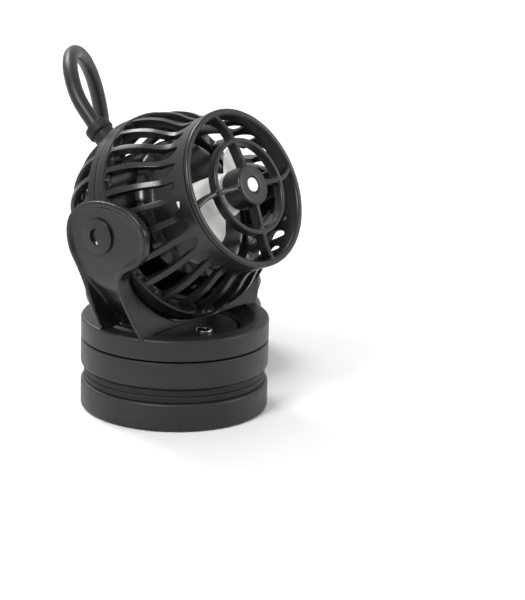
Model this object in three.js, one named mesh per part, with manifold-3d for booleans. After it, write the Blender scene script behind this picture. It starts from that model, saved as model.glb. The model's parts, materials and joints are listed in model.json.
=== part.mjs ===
// Wave maker pump on a magnet mount. Millimetres, +Z up. The origin is the centre of the underside,
// the nozzle looks along -Y and the tilt axis runs along X.
import * as THREE from 'three';
import { mergeVertices } from 'three/addons/utils/BufferGeometryUtils.js';
import Module from 'manifold-3d';

const wasm = await Module();
wasm.setup();

// Magnet mount, from the underside up
const PUCK_R = 33.8;
const DRY_TOP = 10.1;
const PAD_R = 32.7;
const PAD_SEAM = 12.6;
const WET_BOTTOM = 15.1;
const WET_TOP = 25.1;
const MAGNET_R = 25;
const WALL = 2.4;
const GAP = 0.3;

// Swivel between the wet side and the yoke
const POST_R = 19;
const POST_TOP = 27.8;
const TURNTABLE_BOTTOM = 25.7;
const TURNTABLE_TOP = 33.4;
const LEDGE_TOP = 27.5;
const BOWL_R = 28.5;
const RETAINER_R = 22.5;
const RETAINER_TOP = 29.3;
const SCREW_CIRCLE_R = 13.5;
const SCREW_COUNT = 3;
const SCREW_HOLE_R = 1.5;

// Ball: its centre lies on the tilt axis
const BALL_Y = 1.2;
const BALL_Z = 69.7;
const BALL_R = 37;
const NOZZLE_TILT = 26;
const CRADLE_R = 38.3;

// Cages, measured along the nozzle axis from the ball's centre
const SLAT_COUNT = 26;
const SLAT_THICKNESS = 2;
const SLAT_DEPTH = 3.2;
const SEAM = -1;
const FRONT_BAND_END = 3.5;
const REAR_BAND_END = -4.5;
const BAND_PROUD = 0.35;
const BAND_INNER_R = 33.4;
const SHOULDER_L = 16;
const NECK_L = 25.5;
const NECK_R = 28.3;
const COLLAR_START = 29;
const RIM_L = 34.1;
const RIM_R = 28.7;
const RIM_INNER_R = 26.3;
const COLLAR_BORE_R = 27;
const REAR_CAP_R = 17;

// Nozzle grille
const GRILLE_BACK = 35;
const RING_INNER_R = 15.65;
const RING_OUTER_R = 17.4;
const HUB_R = 7.3;
const HUB_FRONT = 39.5;
const HUB_BACK = 30;
const SPOKE_COUNT = 4;
const SPOKE_WIDTH = 1.9;
const SPOKE_DEPTH = 4;

// Yoke ears and pivots
const EAR_X = 41.3;
const EAR_INNER_X = 38;
const PIVOT_R = 6.4;
const PIN_R = 2.3;
const BOSS_R = 6.8;
const BOSS_X = 37.3;
const HOLLOW_DEPTH = 3.2;

// Motor, shaft and propeller
const SHAFT_R = 2.6;
const MOTOR_R = 26;
const MOTOR_FRONT = 11.6;
const MOTOR_FILLET = 5;
const MOTOR_TAPER = -19;
const MOTOR_BACK = -26.6;
const MOTOR_BACK_R = 20;
const MOTOR_WALL = 2;
const END_CAP_BACK = -30.5;
const STATOR_BACK = -19;
const STATOR_FRONT = 2;
const TOOTH_COUNT = 6;
const TOOTH_WIDTH = 3;
const PROPELLER_BACK = 12.3;
const PROPELLER_HUB_R = 8;
const PROPELLER_FRONT = 29.2;
const BLADE_COUNT = 2;
const BLADE_TIP_R = 20.5;
const BLADE_EDGE = 65;
const BLADE_SPAN = 88;
const BLADE_FRONT = 26;
const BLADE_FALL = 6;
const BLADE_THICKNESS = 1.6;

// Lead
const CORD_R = 2.8;
const GLAND_ANGLE = 61.5;
const GLAND_COLLAR_R = 4.9;
const LEAD_HOLE_R = 2.2;
const LEAD_CORE_R = 1.4;
const COIL_X = 52.4;
const COIL_Y = 43.9;
const COIL_INNER_R = 22.4;
const COIL_OUTER_R = 33.6;
const COIL_HEIGHT = 22.4;
const CORD_ROUTE = [
  [0, 39.3, 96.9], [0.3, 47.4, 105.2], [4.4, 54.9, 112.9], [12.4, 62.2, 117], [22.3, 68.2, 116.3],
  [31.7, 72.1, 110.9], [38.9, 74.3, 102.1], [43.7, 75.4, 91.5], [47.1, 76.5, 80.5], [49.8, 78, 69.2],
  [50.5, 78, 57.8], [48.8, 77.8, 46.3], [45, 77.2, 35.5], [39, 73.8, 26.6],
];

const MATERIALS = {
  charcoal: new THREE.MeshStandardMaterial({ color: 0x2b2a2b, roughness: 0.55 }),
  yoke: new THREE.MeshStandardMaterial({ color: 0x262628, roughness: 0.5 }),
  grille: new THREE.MeshStandardMaterial({ color: 0x2a2624, roughness: 0.45 }),
  gloss: new THREE.MeshStandardMaterial({ color: 0x0c0d0f, roughness: 0.12 }),
  white: new THREE.MeshStandardMaterial({ color: 0xd7ded7, roughness: 0.4 }),
  ceramic: new THREE.MeshStandardMaterial({ color: 0xf2f2ee, roughness: 0.2 }),
  rubber: new THREE.MeshStandardMaterial({ color: 0x1a1a1a, roughness: 0.8 }),
  steel: new THREE.MeshStandardMaterial({ color: 0xb9bcc0, roughness: 0.25, metalness: 1 }),
  magnet: new THREE.MeshStandardMaterial({ color: 0x8f9296, roughness: 0.3, metalness: 1 }),
  copper: new THREE.MeshStandardMaterial({ color: 0xb66a3c, roughness: 0.35, metalness: 1 }),
};

const rad = THREE.MathUtils.degToRad;

// ---- Solids and booleans ----

function toSolid(geometry) {
  const bare = geometry.clone();
  bare.deleteAttribute('normal');
  bare.deleteAttribute('uv');
  const merged = mergeVertices(bare, 1e-4);
  const mesh = new wasm.Mesh({
    numProp: 3,
    vertProperties: new Float32Array(merged.attributes.position.array),
    triVerts: new Uint32Array(merged.index.array),
  });
  mesh.merge();
  return new wasm.Manifold(mesh);
}

function toGeometry(solid) {
  const mesh = solid.getMesh();
  const geometry = new THREE.BufferGeometry();
  geometry.setAttribute('position', new THREE.BufferAttribute(new Float32Array(mesh.vertProperties), 3));
  geometry.setIndex(new THREE.BufferAttribute(new Uint32Array(mesh.triVerts), 1));
  return geometry;
}

const union = (parts) => wasm.Manifold.union(parts);

// A closed [radius, height] outline turned about Z
function turned(outline, segments = 48) {
  const points = outline.map(([r, z]) => new THREE.Vector2(r, z));
  return new THREE.LatheGeometry(points, segments).rotateX(Math.PI / 2);
}

function ring(innerR, outerR, z0, z1, segments = 48) {
  return turned([[innerR, z0], [outerR, z0], [outerR, z1], [innerR, z1], [innerR, z0]], segments);
}

function disc(radius, z0, z1, segments = 48, edge = 0) {
  const outline = [[0, z0], [radius - edge, z0], [radius, z0 + edge], [radius, z1 - edge],
    [radius - edge, z1], [0, z1]];
  const sharp = outline.filter(([r, z], i) => i === 0 || r !== outline[i - 1][0] || z !== outline[i - 1][1]);
  return turned(sharp, segments);
}

// Equal turns that share out a full circle
function turnsOf(count) {
  return Array.from({ length: count }, (_, i) => (i * 2 * Math.PI) / count);
}

// A cylinder along X, from x0 to x1, centred on the tilt axis of the ball's own frame
function crossPin(radius, x0, x1, segments = 32) {
  return disc(radius, x0, x1, segments).rotateY(Math.PI / 2);
}

// A plate standing in the plane of the axis and the radius: its outline is [radius, height]
function radialPlate(outline, thickness, angle) {
  const shape = new THREE.Shape(outline.map(([r, z]) => new THREE.Vector2(r, z)));
  const plate = new THREE.ExtrudeGeometry(shape, { depth: thickness, bevelEnabled: false });
  return plate.rotateX(Math.PI / 2).translate(0, thickness / 2, 0).rotateZ(angle);
}

function mesh(name, geometry, material) {
  const piece = new THREE.Mesh(geometry, material);
  piece.name = name;
  return piece;
}

// ---- Magnet mount ----

function dryHousing() {
  return turned([
    [0, 0], [PUCK_R - 1, 0], [PUCK_R, 1], [PUCK_R, DRY_TOP - 1], [PUCK_R - 1, DRY_TOP],
    [MAGNET_R + GAP, DRY_TOP], [MAGNET_R + GAP, WALL], [0, WALL],
  ], 48);
}

function wetHousing() {
  const body = toSolid(turned([
    [0, WET_TOP - WALL], [MAGNET_R + GAP, WET_TOP - WALL], [MAGNET_R + GAP, WET_BOTTOM],
    [PUCK_R - 1.5, WET_BOTTOM], [PUCK_R, WET_BOTTOM + 1.5], [PUCK_R, WET_TOP - 0.5],
    [PUCK_R - 0.5, WET_TOP], [POST_R, WET_TOP], [POST_R, POST_TOP], [0, POST_TOP],
  ], 48));
  return toGeometry(body.subtract(screwHoles(WET_TOP - 1, POST_TOP + 1)));
}

function screwPlaces() {
  return Array.from({ length: SCREW_COUNT }, (_, i) => {
    const angle = -Math.PI / 2 + (i * 2 * Math.PI) / SCREW_COUNT;
    return [SCREW_CIRCLE_R * Math.cos(angle), SCREW_CIRCLE_R * Math.sin(angle)];
  });
}

function screwHoles(z0, z1) {
  return union(screwPlaces().map(([x, y]) => toSolid(disc(SCREW_HOLE_R, z0, z1, 12).translate(x, y, 0))));
}

function retainerPlate() {
  const plate = toSolid(disc(RETAINER_R, POST_TOP, RETAINER_TOP, 48));
  return toGeometry(plate.subtract(screwHoles(POST_TOP - 1, RETAINER_TOP + 1)));
}

// A pan head on a plain shank, standing on the retainer plate
function screw() {
  return turned([
    [0, WET_TOP - 0.6], [1.2, WET_TOP - 0.6], [1.2, RETAINER_TOP], [3, RETAINER_TOP],
    [3, RETAINER_TOP + 0.9], [1.8, RETAINER_TOP + 1.7], [0, RETAINER_TOP + 1.7],
  ], 14);
}

// ---- Yoke: turntable, two arms and two ears in one moulding ----

function turntable() {
  return turned([
    [POST_R + 0.4, TURNTABLE_BOTTOM], [PUCK_R, TURNTABLE_BOTTOM], [PUCK_R, TURNTABLE_TOP - 1],
    [PUCK_R - 1, TURNTABLE_TOP], [BOWL_R, TURNTABLE_TOP], [RETAINER_R + 1.5, RETAINER_TOP + 1],
    [RETAINER_R + 0.6, LEDGE_TOP], [POST_R + 0.4, LEDGE_TOP], [POST_R + 0.4, TURNTABLE_BOTTOM],
  ], 48);
}

// Side outline of arm and ear: [forward, height]
function armSide() {
  const shape = new THREE.Shape();
  shape.moveTo(12.3, TURNTABLE_TOP - 2);
  shape.quadraticCurveTo(10, 44, 7.8, 52.5);
  shape.quadraticCurveTo(7.6, 57.5, 13, 60);
  shape.bezierCurveTo(19.5, 63, 20.4, 67, 20.4, 71);
  shape.bezierCurveTo(20.4, 79, 11, 82.4, 2, 82.4);
  shape.bezierCurveTo(-7, 82.4, -15.8, 78, -15.8, 69.7);
  shape.bezierCurveTo(-15.8, 62, -10.5, 58, -9.4, 48);
  shape.lineTo(-7.6, TURNTABLE_TOP - 2);
  return shape;
}

// Front section of the left arm: [x, height], leaning out from the turntable to the ear
function armSection() {
  const shape = new THREE.Shape();
  shape.moveTo(-31, TURNTABLE_TOP - 2);
  shape.quadraticCurveTo(-36.5, 41, -EAR_X, 62);
  shape.lineTo(-EAR_X, 84);
  shape.lineTo(-EAR_INNER_X, 84);
  shape.lineTo(-EAR_INNER_X, 58);
  shape.lineTo(-20, 46);
  shape.lineTo(-1, 36);
  shape.lineTo(-1, TURNTABLE_TOP - 2);
  return shape;
}

// The hollow in the outer face low on the arm, behind its raised front strip
function armHollow() {
  const shape = new THREE.Shape();
  shape.moveTo(9, TURNTABLE_TOP + 0.8);
  shape.quadraticCurveTo(7, 43, 5.2, 50);
  shape.quadraticCurveTo(-1, 57, -7, 50);
  shape.lineTo(-5, TURNTABLE_TOP + 0.8);
  return shape;
}

// An outline of [forward, height] extruded along X from x0 by the given width
function alongX(shape, x0, width, steps = 6) {
  const plate = new THREE.ExtrudeGeometry(shape, { depth: width, bevelEnabled: false, curveSegments: steps });
  // Shape X -> -Y, shape Y -> Z, extrusion -> -X
  return plate.rotateX(Math.PI / 2).rotateZ(-Math.PI / 2).translate(x0 + width, 0, 0);
}

function leftArm() {
  const side = toSolid(alongX(armSide(), -45, 45));
  const options = { depth: 50, bevelEnabled: false, curveSegments: 5 };
  const section = new THREE.ExtrudeGeometry(armSection(), options);
  const front = toSolid(section.rotateX(Math.PI / 2).translate(0, 25, 0));
  const hollow = toSolid(alongX(armHollow(), -45, 14));
  const pinHole = toSolid(crossPin(PIN_R + GAP, -50, -30).translate(0, BALL_Y, BALL_Z));
  const ball = new THREE.SphereGeometry(CRADLE_R, 48, 32).translate(0, BALL_Y, BALL_Z);
  const solid = side.intersect(front).subtract(toSolid(ball)).subtract(pinHole);
  const skin = front.translate([-HOLLOW_DEPTH, 0, 0]).subtract(front.translate([HOLLOW_DEPTH, 0, 0]));
  const inset = hollow.intersect(skin);
  return solid.subtract(inset);
}

function yoke() {
  const arm = leftArm();
  const bowl = toSolid(disc(BOWL_R - 0.1, TURNTABLE_TOP - 3, TURNTABLE_TOP));
  const arms = union([arm, arm.mirror([1, 0, 0])]);
  return toGeometry(union([toSolid(turntable()), arms.subtract(bowl)]));
}

// A domed button on the ear's outer face, on a pin through the ear into the ball's boss
function pivotButton(side) {
  const outer = EAR_X + GAP / 3;
  return turned([
    [0, 33.4], [PIN_R, 33.4], [PIN_R, outer], [PIVOT_R, outer], [PIVOT_R, outer + 1],
    [PIVOT_R - 1.2, outer + 1.9], [0, outer + 2.1],
  ], 24).rotateY((side * Math.PI) / 2);
}

function pivotWasher(side) {
  return ring(PIN_R + GAP, 5.6, BOSS_X + 0.1, EAR_INNER_X - 0.1, 24).rotateY((side * Math.PI) / 2);
}

// ---- Cages, in the ball's own frame: +Z runs out of the nozzle ----

function hermite(t, p0, m0, p1, m1) {
  const a = 2 * t ** 3 - 3 * t ** 2 + 1;
  const b = t ** 3 - 2 * t ** 2 + t;
  return a * p0 + b * m0 + (1 - a) * p1 + (t ** 3 - t ** 2) * m1;
}

// Outer radius of the cages along the nozzle axis: a sphere that runs into a concave neck
function cageRadius(l) {
  if (l <= SHOULDER_L) return Math.sqrt(BALL_R ** 2 - l ** 2);
  if (l <= NECK_L) {
    const span = NECK_L - SHOULDER_L;
    const shoulderR = Math.sqrt(BALL_R ** 2 - SHOULDER_L ** 2);
    const slope = -SHOULDER_L / shoulderR;
    return hermite((l - SHOULDER_L) / span, shoulderR, slope * span, NECK_R, -0.05 * span);
  }
  const span = RIM_L - NECK_L;
  return hermite((l - NECK_L) / span, NECK_R, -0.05 * span, RIM_R, 0.1 * span);
}

function between(from, to, count) {
  return Array.from({ length: count + 1 }, (_, i) => from + ((to - from) * i) / count);
}

function shellOutline(from, to, count, depth) {
  const outer = between(from, to, count).map((l) => [cageRadius(l), l]);
  const inner = between(to, from, count).map((l) => [Math.max(cageRadius(l) - depth, 0), l]);
  return [...outer, ...inner];
}

function slats(outline) {
  return turnsOf(SLAT_COUNT).map((angle) => toSolid(radialPlate(outline, SLAT_THICKNESS, Math.PI / 2 + angle)));
}

function band(from, to) {
  const r = BALL_R + BAND_PROUD;
  return toSolid(ring(BAND_INNER_R, r, from, to, 52));
}

function sideBosses(radius, innerX, outerX) {
  const quarter = Math.PI / 2;
  return union([-quarter, quarter].map((turn) => toSolid(disc(radius, innerX, outerX, 24).rotateY(turn))));
}

function frontCage() {
  const collar = toSolid(turned([
    [COLLAR_BORE_R, COLLAR_START], [cageRadius(COLLAR_START), COLLAR_START],
    [cageRadius((COLLAR_START + RIM_L) / 2), (COLLAR_START + RIM_L) / 2], [RIM_R, RIM_L],
    [COLLAR_BORE_R, RIM_L], [COLLAR_BORE_R, COLLAR_START],
  ], 52));
  const bars = slats(shellOutline(FRONT_BAND_END - 0.5, COLLAR_START + 0.6, 7, SLAT_DEPTH));
  const hoop = union([band(SEAM + GAP, FRONT_BAND_END), collar, ...bars]);
  const throat = toSolid(disc(COLLAR_BORE_R - 0.05, 20, 40, 52));
  return toGeometry(hoop.subtract(throat).subtract(sideBosses(BOSS_R + 0.6, 25, 45)));
}

function rearCage() {
  const bars = slats(shellOutline(-32.4, REAR_BAND_END + 0.5, 5, SLAT_DEPTH));
  const capStart = -Math.sqrt(BALL_R ** 2 - REAR_CAP_R ** 2);
  const capOuter = between(capStart, -BALL_R, 4).map((l) => [cageRadius(l), l]);
  const capInner = [[0, capStart + 2.2], [REAR_CAP_R - 1, capStart + 2.2]];
  const cap = toSolid(turned([...capInner, ...capOuter].reverse(), 48));
  const bosses = sideBosses(BOSS_R, 32, BOSS_X);
  const pinHoles = sideBosses(PIN_R + GAP, 33, 45);
  const pad = toSolid(disc(7, 33, BALL_R + 0.6, 24).rotateX(-glandTurn()));
  const padHole = toSolid(disc(LEAD_HOLE_R, 25, 45, 16).rotateX(-glandTurn()));
  const hoop = union([band(REAR_BAND_END, SEAM), cap, pad, bosses, ...bars]);
  return toGeometry(hoop.subtract(pinHoles).subtract(padHole));
}

// Turns +Z onto the gland's direction, up and behind the ball
function glandTurn() {
  return rad(180 - GLAND_ANGLE);
}

// ---- Nozzle grille ----

function grilleRing(innerR, outerR, back, front) {
  return toSolid(turned([
    [innerR, back], [outerR, back], [outerR, front - 0.5], [outerR - 0.5, front],
    [innerR + 0.5, front], [innerR, front - 0.5], [innerR, back],
  ], 40));
}

// Sideways offset of a spoke's middle: it leans one way near the ring and the other at the rim
function spokeSide(r) {
  const share = (r - HUB_R) / (RIM_INNER_R - HUB_R);
  return -0.3 - 4 * share ** 2 + 6.5 * share ** 3;
}

// A curved arm from hub to rim, stepping back towards the rim
function spoke(angle) {
  const radii = between(HUB_R - 1, RIM_INNER_R + 0.3, 6);
  const half = SPOKE_WIDTH / 2;
  const left = radii.map((r) => new THREE.Vector2(r, spokeSide(r) + half));
  const right = radii.map((r) => new THREE.Vector2(r, spokeSide(r) - half)).reverse();
  const outline = new THREE.Shape([...left, ...right]);
  const plan = new THREE.ExtrudeGeometry(outline, { depth: 20, bevelEnabled: false });
  const front = (r) => HUB_FRONT - 0.6 - 3.4 * (r / RIM_INNER_R) ** 2;
  const ahead = radii.map((r) => [r, front(r)]);
  const behind = radii.map((r) => [r, front(r) - SPOKE_DEPTH]).reverse();
  const profile = toSolid(radialPlate([...ahead, ...behind], 14, 0));
  return toGeometry(toSolid(plan.translate(0, 0, 25)).intersect(profile)).rotateZ(angle);
}

function nozzleGrille() {
  const rim = toSolid(turned([
    [RIM_INNER_R, RIM_L - 3], [COLLAR_BORE_R - GAP, RIM_L - 3], [COLLAR_BORE_R - GAP, RIM_L + 0.05],
    [RIM_R, RIM_L + 0.05], [RIM_R, RIM_L + 0.8], [RIM_R - 0.8, GRILLE_BACK + 0.9],
    [RIM_INNER_R + 0.5, GRILLE_BACK + 0.9], [RIM_INNER_R, GRILLE_BACK + 0.4], [RIM_INNER_R, RIM_L - 3],
  ], 52));
  const inner = grilleRing(RING_INNER_R, RING_OUTER_R, GRILLE_BACK - 0.6, HUB_FRONT - 1.4);
  const hub = toSolid(turned([
    [SHAFT_R + GAP, HUB_BACK], [HUB_R - 1.6, HUB_BACK], [HUB_R, HUB_BACK + 1.5],
    [HUB_R, HUB_FRONT - 0.8], [HUB_R - 0.8, HUB_FRONT], [SHAFT_R + GAP, HUB_FRONT], [SHAFT_R + GAP, HUB_BACK],
  ], 28));
  const spokes = turnsOf(SPOKE_COUNT).map((angle) => toSolid(spoke(angle)));
  const bore = toSolid(disc(SHAFT_R + GAP, 20, 50, 28));
  return toGeometry(union([rim, inner, hub, ...spokes]).subtract(bore));
}

// ---- Motor ----

// A can with a rounded front shoulder, tapering at the back to stay inside the cage
function motorHousing() {
  const turns = between(0, Math.PI / 2, 4);
  const shoulder = turns.map((a) => [
    MOTOR_R - MOTOR_FILLET * (1 - Math.cos(a)), MOTOR_FRONT - MOTOR_FILLET * (1 - Math.sin(a)),
  ]);
  const boreR = SHAFT_R + 2.4;
  const insideR = MOTOR_R - MOTOR_WALL;
  const insideFront = MOTOR_FRONT - MOTOR_WALL;
  return turned([
    [boreR, MOTOR_FRONT], [boreR, insideFront], [MOTOR_R - MOTOR_FILLET, insideFront],
    [insideR, MOTOR_FRONT - MOTOR_FILLET], [insideR, MOTOR_TAPER], [MOTOR_BACK_R - MOTOR_WALL, MOTOR_BACK],
    [MOTOR_BACK_R, MOTOR_BACK], [MOTOR_R, MOTOR_TAPER], ...shoulder, [boreR, MOTOR_FRONT],
  ], 40);
}

function motorEndCap() {
  const plugR = MOTOR_BACK_R - MOTOR_WALL - GAP;
  return turned([
    [0, END_CAP_BACK], [13, END_CAP_BACK], [17, END_CAP_BACK + 2], [plugR, MOTOR_BACK],
    [plugR, MOTOR_BACK + 2], [0, MOTOR_BACK + 2],
  ], 36);
}

function statorCore() {
  const length = STATOR_FRONT - STATOR_BACK;
  const hoop = toSolid(ring(18.6, MOTOR_R - MOTOR_WALL - GAP, STATOR_BACK, STATOR_FRONT, 36));
  const teeth = turnsOf(TOOTH_COUNT).map((angle) => {
    const tooth = new THREE.BoxGeometry(10, TOOTH_WIDTH, length);
    return toSolid(tooth.translate(14, 0, STATOR_BACK + length / 2).rotateZ(angle));
  });
  return toGeometry(union([hoop, ...teeth]));
}

// A rectangle of half width w around the stator's length, with a margin past both of its ends
function aroundTooth(w, margin) {
  const back = STATOR_BACK - margin;
  const front = STATOR_FRONT + margin;
  return [[-w, back], [w, back], [w, front], [-w, front]].map(([a, b]) => new THREE.Vector2(a, b));
}

// A winding around one tooth
function winding(angle) {
  const shape = new THREE.Shape(aroundTooth(4, 2.5));
  shape.holes.push(new THREE.Path(aroundTooth(TOOTH_WIDTH / 2 + GAP, GAP)));
  const coil = new THREE.ExtrudeGeometry(shape, { depth: 5, bevelEnabled: false });
  return coil.rotateX(Math.PI / 2).rotateZ(Math.PI / 2).translate(12, 0, 0).rotateZ(angle);
}

// ---- Turning parts ----

function rotorMagnet() {
  return ring(4.4, 8.4, -20, 2, 28);
}

// One blade: a slice of a helix that falls away from its leading edge, with rounded tip corners
function blade(edge) {
  const span = rad(BLADE_SPAN);
  const place = (r, share) => new THREE.Vector2(r, 0).rotateAround(new THREE.Vector2(), edge - share * span);
  const tipR = (share) => BLADE_TIP_R - 6 * Math.abs(2 * share - 1) ** 6;
  const tip = between(0, 1, 14).map((share) => place(tipR(share), share));
  const root = between(1, 0, 4).map((share) => place(PROPELLER_HUB_R - 1.5, share));
  const outline = new THREE.Shape([...tip, ...root]);
  const plate = new THREE.ExtrudeGeometry(outline, { depth: BLADE_THICKNESS, bevelEnabled: false });
  const spots = plate.attributes.position;
  for (let i = 0; i < spots.count; i += 1) {
    const turn = edge - Math.atan2(spots.getY(i), spots.getX(i));
    const share = THREE.MathUtils.euclideanModulo(turn + 1, 2 * Math.PI) - 1;
    spots.setZ(i, spots.getZ(i) + BLADE_FRONT - BLADE_THICKNESS - (BLADE_FALL * share) / span);
  }
  return plate;
}

function propeller() {
  const hub = toSolid(turned([
    [SHAFT_R + GAP, PROPELLER_BACK], [PROPELLER_HUB_R, PROPELLER_BACK],
    [PROPELLER_HUB_R, PROPELLER_FRONT - 4], [PROPELLER_HUB_R - 1.4, PROPELLER_FRONT - 0.6],
    [SHAFT_R + GAP, PROPELLER_FRONT], [SHAFT_R + GAP, PROPELLER_BACK],
  ], 28));
  const blades = turnsOf(BLADE_COUNT).map((angle) => toSolid(blade(rad(BLADE_EDGE) + angle)));
  return toGeometry(union([hub, ...blades]));
}

// The tube that joins the propeller's hub to the rotor magnet
function rotorSleeve() {
  return ring(SHAFT_R + GAP, 4.1, -20, PROPELLER_BACK - 0.1, 20);
}

// ---- Lead ----

function cableGland() {
  return turned([
    [0, BALL_R - 1.5], [2, BALL_R - 1.5], [2, BALL_R + 0.7], [4.6, BALL_R + 0.7], [4.1, 41.5],
    [GLAND_COLLAR_R - 0.4, 42.4], [GLAND_COLLAR_R, 43], [GLAND_COLLAR_R, 45.4],
    [GLAND_COLLAR_R - 0.6, 46], [0, 46],
  ], 24).rotateX(-glandTurn());
}

// The lead's core, from the gland pad's hole to the potted motor housing
function internalLead() {
  return disc(LEAD_CORE_R, 30.8, 34.6, 12).rotateX(-glandTurn());
}

function circleShape(radius, sides) {
  const points = Array.from({ length: sides }, (_, i) => {
    const angle = (i * 2 * Math.PI) / sides;
    return new THREE.Vector2(radius * Math.cos(angle), radius * Math.sin(angle));
  });
  return new THREE.Shape(points);
}

function cordTube() {
  const points = CORD_ROUTE.map((p) => new THREE.Vector3(...p));
  const extrudePath = new THREE.CatmullRomCurve3(points, false, 'centripetal');
  return new THREE.ExtrudeGeometry(circleShape(CORD_R, 10), { steps: 20, extrudePath, bevelEnabled: false });
}

function cordCoil() {
  return ring(COIL_INNER_R, COIL_OUTER_R, 0.05, COIL_HEIGHT, 40).translate(COIL_X, COIL_Y, 0);
}

// A barrel connector lying across the coil
function connector() {
  const body = turned([
    [0, -13], [2.6, -13], [3.4, -6], [4.5, -5], [4.5, 8], [3.2, 8.4], [3.2, 13], [0, 13],
  ], 16);
  return body.rotateX(Math.PI / 2).translate(COIL_X + 28, COIL_Y, COIL_HEIGHT + GAP + 4.5);
}

// ---- Assembly ----

function mountGroup() {
  const group = new THREE.Group();
  group.add(mesh('dry_magnet_housing', dryHousing(), MATERIALS.charcoal));
  group.add(mesh('dry_magnet', disc(MAGNET_R, WALL + 0.05, DRY_TOP - 0.2), MATERIALS.magnet));
  group.add(mesh('dry_pad', disc(PAD_R, DRY_TOP + 0.02, PAD_SEAM - 0.02), MATERIALS.rubber));
  group.add(mesh('wet_pad', disc(PAD_R, PAD_SEAM + 0.02, WET_BOTTOM - 0.02), MATERIALS.rubber));
  group.add(mesh('wet_magnet_housing', wetHousing(), MATERIALS.charcoal));
  group.add(mesh('wet_magnet', disc(MAGNET_R, WET_BOTTOM + 0.2, WET_TOP - WALL - 0.05), MATERIALS.magnet));
  group.add(mesh('retainer_plate', retainerPlate(), MATERIALS.charcoal));
  screwPlaces().forEach(([x, y], i) => {
    const piece = mesh(`retainer_screw_${i + 1}`, screw(), MATERIALS.steel);
    piece.position.set(x, y, 0.02);
    group.add(piece);
  });
  return group;
}

function yokeGroup() {
  const group = new THREE.Group();
  group.add(mesh('yoke', yoke(), MATERIALS.yoke));
  for (const [name, side] of [['left', -1], ['right', 1]]) {
    const button = mesh(`pivot_button_${name}`, pivotButton(side), MATERIALS.yoke);
    const washer = mesh(`pivot_washer_${name}`, pivotWasher(side), MATERIALS.rubber);
    button.position.set(0, BALL_Y, BALL_Z);
    washer.position.copy(button.position);
    group.add(button, washer);
  }
  group.add(mesh('power_cord', cordTube(), MATERIALS.rubber));
  group.add(mesh('cord_coil', cordCoil(), MATERIALS.rubber));
  group.add(mesh('cord_connector', connector(), MATERIALS.gloss));
  return group;
}

function ballGroup() {
  const group = new THREE.Group();
  group.position.set(0, BALL_Y, BALL_Z);
  group.rotation.x = rad(90 - NOZZLE_TILT);
  group.add(mesh('front_cage', frontCage(), MATERIALS.charcoal));
  group.add(mesh('rear_cage', rearCage(), MATERIALS.charcoal));
  group.add(mesh('nozzle_grille', nozzleGrille(), MATERIALS.grille));
  group.add(mesh('motor_housing', motorHousing(), MATERIALS.gloss));
  group.add(mesh('motor_end_cap', motorEndCap(), MATERIALS.gloss));
  group.add(mesh('stator_core', statorCore(), MATERIALS.steel));
  turnsOf(TOOTH_COUNT).forEach((angle, i) => {
    group.add(mesh(`stator_winding_${i + 1}`, winding(angle), MATERIALS.copper));
  });
  group.add(mesh('shaft', disc(SHAFT_R, MOTOR_BACK + 2.3, HUB_FRONT - 0.3, 20, 0.3), MATERIALS.ceramic));
  group.add(mesh('rear_bushing', ring(SHAFT_R + 0.1, 6, MOTOR_BACK + 2.3, -20.6, 20), MATERIALS.rubber));
  group.add(mesh('front_washer', ring(SHAFT_R + 0.1, 4.6, 29.35, 29.85, 20), MATERIALS.white));
  group.add(mesh('cable_gland', cableGland(), MATERIALS.rubber));
  group.add(mesh('internal_lead', internalLead(), MATERIALS.rubber));
  group.add(mesh('rotor_magnet', rotorMagnet(), MATERIALS.magnet));
  group.add(mesh('rotor_sleeve', rotorSleeve(), MATERIALS.white));
  group.add(mesh('propeller', propeller(), MATERIALS.white));
  return group;
}

const pump = new THREE.Group();
pump.add(mountGroup(), yokeGroup(), ballGroup());

export default pump;
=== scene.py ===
"""Looks for the wave maker pump: camera, light, cord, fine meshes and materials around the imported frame."""
import json
import math

import bmesh
import bpy
import numpy as np
from mathutils import Matrix, Vector


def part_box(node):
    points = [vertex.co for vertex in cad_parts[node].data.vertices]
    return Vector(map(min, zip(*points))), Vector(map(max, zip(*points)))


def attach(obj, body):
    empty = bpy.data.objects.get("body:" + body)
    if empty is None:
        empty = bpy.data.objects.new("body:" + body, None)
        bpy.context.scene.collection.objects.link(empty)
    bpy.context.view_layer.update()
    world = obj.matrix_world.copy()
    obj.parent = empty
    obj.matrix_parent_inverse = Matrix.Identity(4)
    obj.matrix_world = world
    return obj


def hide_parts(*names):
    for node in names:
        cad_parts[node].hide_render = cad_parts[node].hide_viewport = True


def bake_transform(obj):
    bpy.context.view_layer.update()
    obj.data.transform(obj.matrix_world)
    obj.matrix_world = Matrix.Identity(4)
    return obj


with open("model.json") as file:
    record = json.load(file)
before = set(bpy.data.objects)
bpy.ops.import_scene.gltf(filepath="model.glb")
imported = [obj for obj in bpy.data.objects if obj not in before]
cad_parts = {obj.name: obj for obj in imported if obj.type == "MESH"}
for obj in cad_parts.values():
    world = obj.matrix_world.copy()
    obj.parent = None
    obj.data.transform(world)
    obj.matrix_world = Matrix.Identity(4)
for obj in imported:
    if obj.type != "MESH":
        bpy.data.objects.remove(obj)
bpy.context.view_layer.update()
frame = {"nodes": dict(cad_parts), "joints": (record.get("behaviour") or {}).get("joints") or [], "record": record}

MM = 0.001
TURN = 2 * math.pi

# ---- Sizes in millimetres, the CAD model's driving dimensions ----

PUCK_R = 33.8
PAD_R = 32.7
DRY_TOP = 10.1
PAD_SEAM = 12.6
WET_BOTTOM = 15.1
PAD_GAP = 0.02
SHELL_WALL = 2
WET_TOP = 25.1
TURNTABLE_BOTTOM = 25.7
TURNTABLE_SHELF = 27.5
TURNTABLE_TOP = 33.4
BOWL_R = 28.5
RETAINER_R = 22.5
RETAINER_TOP = 29.3
POST_R = 19
POST_GAP = 0.4
SCREWS = 3

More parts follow.
